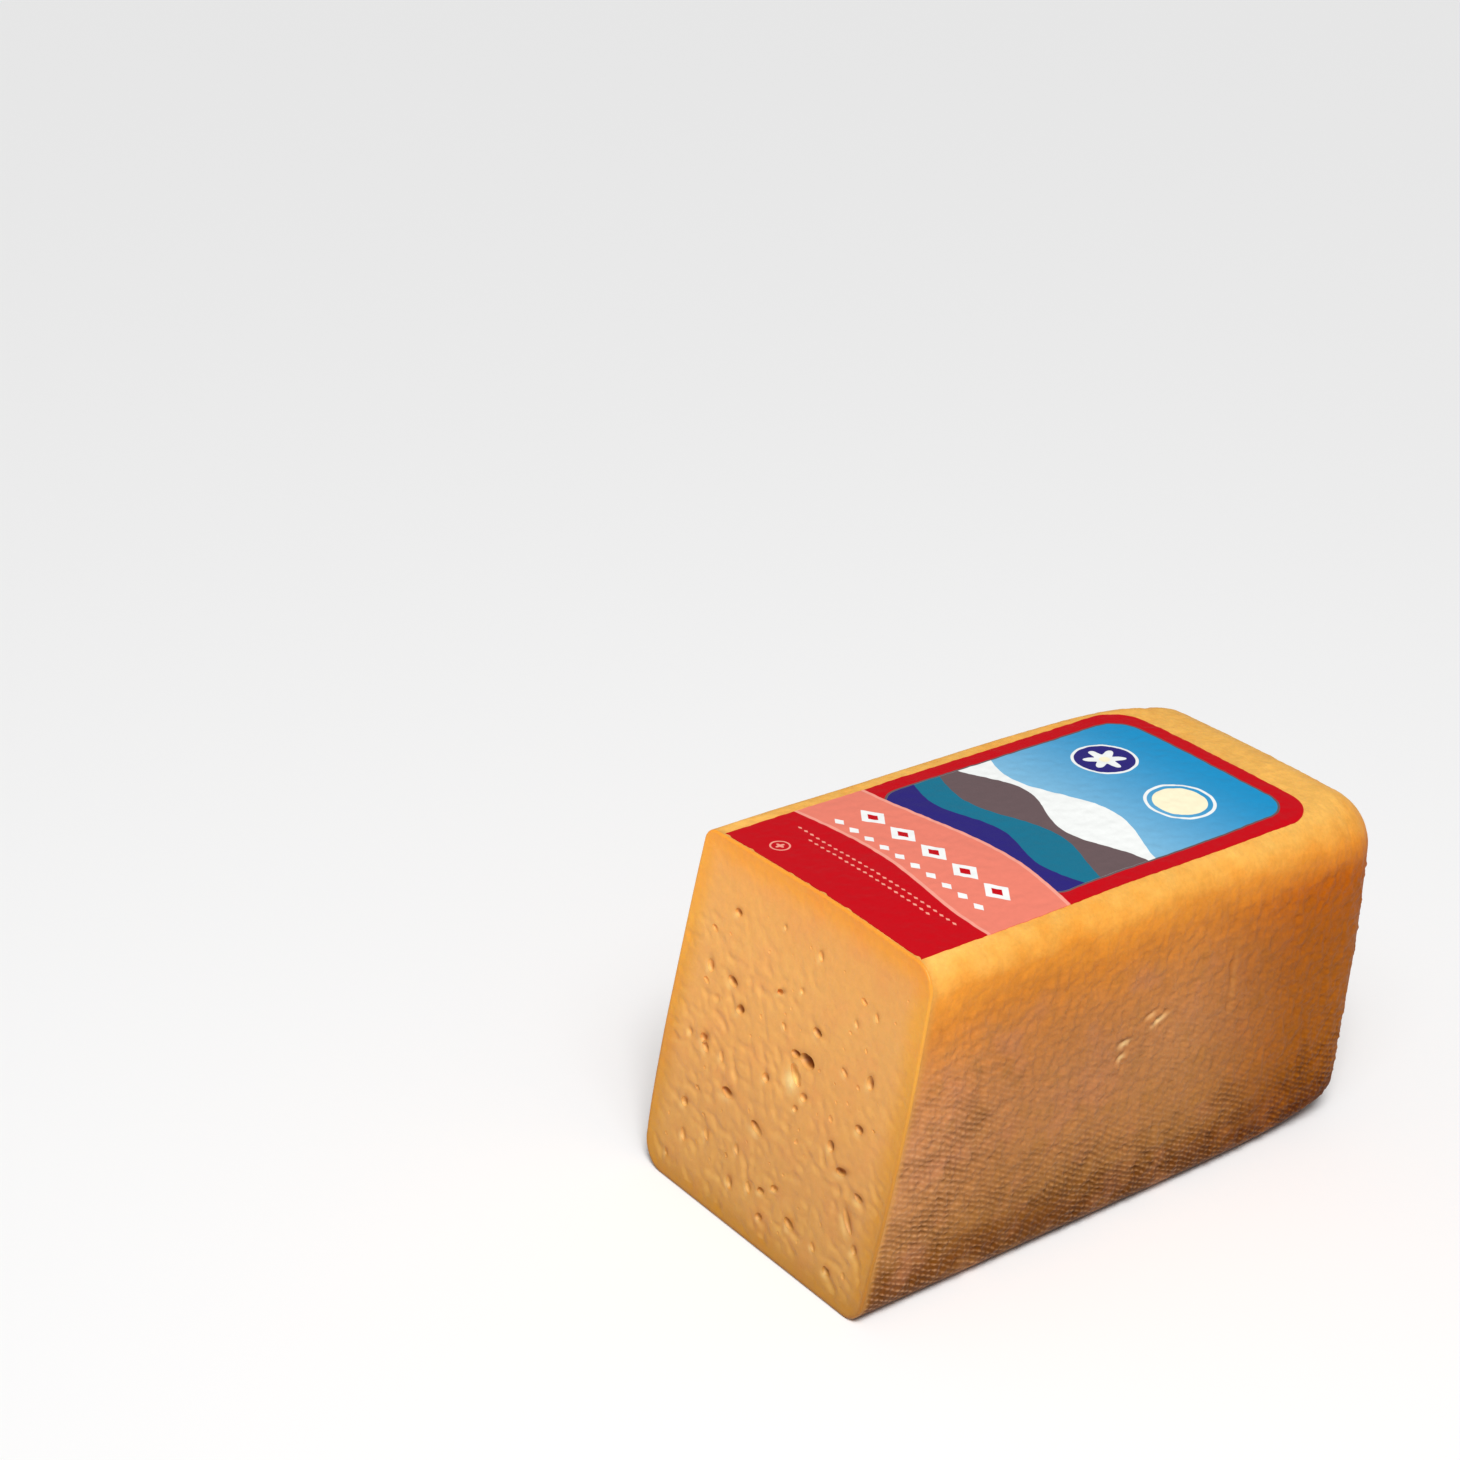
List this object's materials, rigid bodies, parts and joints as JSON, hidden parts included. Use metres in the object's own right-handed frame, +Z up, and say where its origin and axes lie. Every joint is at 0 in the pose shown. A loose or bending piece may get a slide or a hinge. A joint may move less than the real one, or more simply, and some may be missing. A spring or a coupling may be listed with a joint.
{
  "type": "cut half loaf of cheese",
  "caption": "Loaf-shaped block of semi-hard cheese with one end cut off, showing paste with eyes, and a flat label on its top.",
  "frame": {"origin": "middle of the bounding box in plan, on the surface that the block stands on", "axes": "+X across the loaf, +Y along it from the cut to the far end, +Z up"},
  "size_m": [0.1012, 0.2, 0.1054],
  "materials": {
    "cheese": "cheese: a semi-matte ochre rind with a cloth imprint, and a smooth paler paste at the cut",
    "label": "glossy printed paper"
  },
  "bodies": {
    "root": {"cheese_block": "cheese", "label": "label"}
  },
  "joints": []
}
